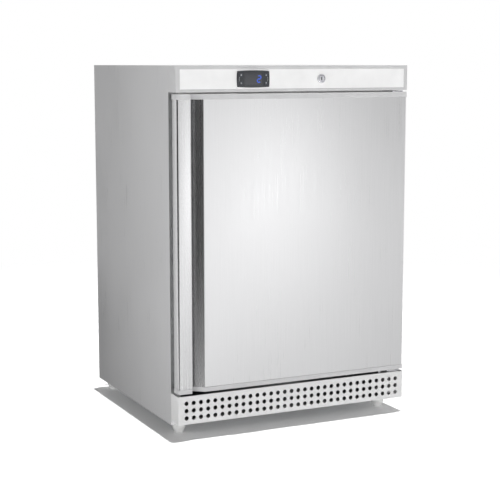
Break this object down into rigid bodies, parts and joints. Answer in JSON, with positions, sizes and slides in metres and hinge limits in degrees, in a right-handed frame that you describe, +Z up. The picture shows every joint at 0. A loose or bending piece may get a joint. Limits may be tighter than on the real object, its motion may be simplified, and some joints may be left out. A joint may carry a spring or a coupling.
{
  "type": "undercounter refrigerator",
  "caption": "Free-standing undercounter refrigerator: steel cabinet, solid hinged door with a full-height grip recess, controller fascia, perforated kick grille and rear condenser.",
  "frame": {"origin": "middle of the footprint at floor level", "axes": "+X to the right seen from the front, +Y from the door to the back, +Z up"},
  "size_m": [0.6, 0.6, 0.85],
  "materials": {
    "stainless_steel": "satin",
    "galvanised_steel": "matte",
    "polished_steel": "polished",
    "handle_aluminium": "satin",
    "evaporator_aluminium": "satin",
    "grille_paint": "satin",
    "grey_plastic": "satin",
    "white_film": "satin",
    "white_liner": "gloss",
    "white_plastic": "satin",
    "black_plastic": "satin",
    "smoked_window": "gloss",
    "gasket_rubber": "matte",
    "black_rubber": "matte",
    "acetal_bush": "satin",
    "foam": "matte",
    "shelf_wire": "gloss",
    "compressor_paint": "satin",
    "pump_iron": "matte",
    "condenser_paint": "matte",
    "copper_pipe": "satin",
    "lock_chrome": "polished"
  },
  "bodies": {
    "cabinet": {"side_panel_left": "stainless_steel", "side_panel_right": "stainless_steel", "top_panel": "stainless_steel", "back_panel": "galvanised_steel", "base_tray": "galvanised_steel", "bay_panel": "galvanised_steel", "front_frame": "white_plastic", "foam_insulation": "foam", "inner_liner": "white_liner", "fascia_frame": "grey_plastic", "fascia_insert": "white_film", "controller_case": "black_plastic", "controller_window": "smoked_window", "lock_housing": "lock_chrome", "grille": "grille_paint", "hinge_bracket_top": "polished_steel", "hinge_bracket_bottom": "polished_steel", "hinge_screws": "polished_steel", "hinge_pins": "polished_steel", "shelf_lower": "shelf_wire", "shelf_middle": "shelf_wire", "shelf_upper": "shelf_wire", "evaporator": "evaporator_aluminium", "fan_shroud": "white_plastic", "fan_motor": "black_plastic", "drip_channel": "white_plastic", "drain_tube": "white_plastic", "temperature_probe": "black_plastic", "compressor_shell": "compressor_paint", "compressor_pump": "pump_iron", "compressor_grommets": "black_rubber", "compressor_bolts": "galvanised_steel", "relay_box": "black_plastic", "condenser": "condenser_paint", "condenser_spacers": "black_plastic", "filter_drier": "copper_pipe", "suction_line": "copper_pipe", "discharge_line": "copper_pipe", "evaporation_pan": "black_plastic", "mains_inlet": "black_plastic", "foot_nuts": "galvanised_steel"},
    "door": {"door_skin": "stainless_steel", "door_handle": "handle_aluminium", "door_cap_top": "grey_plastic", "door_cap_bottom": "grey_plastic", "door_foam": "foam", "door_liner": "white_liner", "door_gasket": "gasket_rubber", "hinge_bushes": "acetal_bush"},
    "fan_rotor": {"fan_blades": "black_plastic"},
    "lock_plug": {"lock_barrel": "lock_chrome", "lock_cam": "galvanised_steel"},
    "foot_front_left": {"foot_front_left": "white_plastic"},
    "foot_front_right": {"foot_front_right": "white_plastic"},
    "foot_rear_left": {"foot_rear_left": "white_plastic"},
    "foot_rear_right": {"foot_rear_right": "white_plastic"},
    "key_upper_left": {"key_upper_left": "black_plastic"},
    "key_lower_left": {"key_lower_left": "black_plastic"},
    "key_upper_right": {"key_upper_right": "black_plastic"},
    "key_lower_right": {"key_lower_right": "black_plastic"}
  },
  "joints": [
    {"name": "door_swing", "type": "hinge", "parent": "cabinet", "child": "door", "pos_m": [0.273, -0.286, 0.1086], "axis": [0, 0, 1], "range_deg": [0, 120]},
    {"name": "fan_spin", "type": "hinge", "parent": "cabinet", "child": "fan_rotor", "pos_m": [0, 0.175, 0.6595], "axis": [0, 1, 0], "continuous": true},
    {"name": "lock_turn", "type": "hinge", "parent": "cabinet", "child": "lock_plug", "pos_m": [0.065, -0.29, 0.81965], "axis": [0, 1, 0], "range_deg": [0, 90]},
    {"name": "foot_front_left_thread", "type": "slide", "parent": "cabinet", "child": "foot_front_left", "axis": [0, 0, -1], "range_m": [0, 0.015]},
    {"name": "foot_front_right_thread", "type": "slide", "parent": "cabinet", "child": "foot_front_right", "axis": [0, 0, -1], "range_m": [0, 0.015]},
    {"name": "foot_rear_left_thread", "type": "slide", "parent": "cabinet", "child": "foot_rear_left", "axis": [0, 0, -1], "range_m": [0, 0.015]},
    {"name": "foot_rear_right_thread", "type": "slide", "parent": "cabinet", "child": "foot_rear_right", "axis": [0, 0, -1], "range_m": [0, 0.015]},
    {"name": "push_key_upper_left", "type": "slide", "parent": "cabinet", "child": "key_upper_left", "axis": [0, 1, 0], "range_m": [0, 0.0006], "stiffness_N_per_m": 1500},
    {"name": "push_key_lower_left", "type": "slide", "parent": "cabinet", "child": "key_lower_left", "axis": [0, 1, 0], "range_m": [0, 0.0006], "stiffness_N_per_m": 1500},
    {"name": "push_key_upper_right", "type": "slide", "parent": "cabinet", "child": "key_upper_right", "axis": [0, 1, 0], "range_m": [0, 0.0006], "stiffness_N_per_m": 1500},
    {"name": "push_key_lower_right", "type": "slide", "parent": "cabinet", "child": "key_lower_right", "axis": [0, 1, 0], "range_m": [0, 0.0006], "stiffness_N_per_m": 1500}
  ]
}
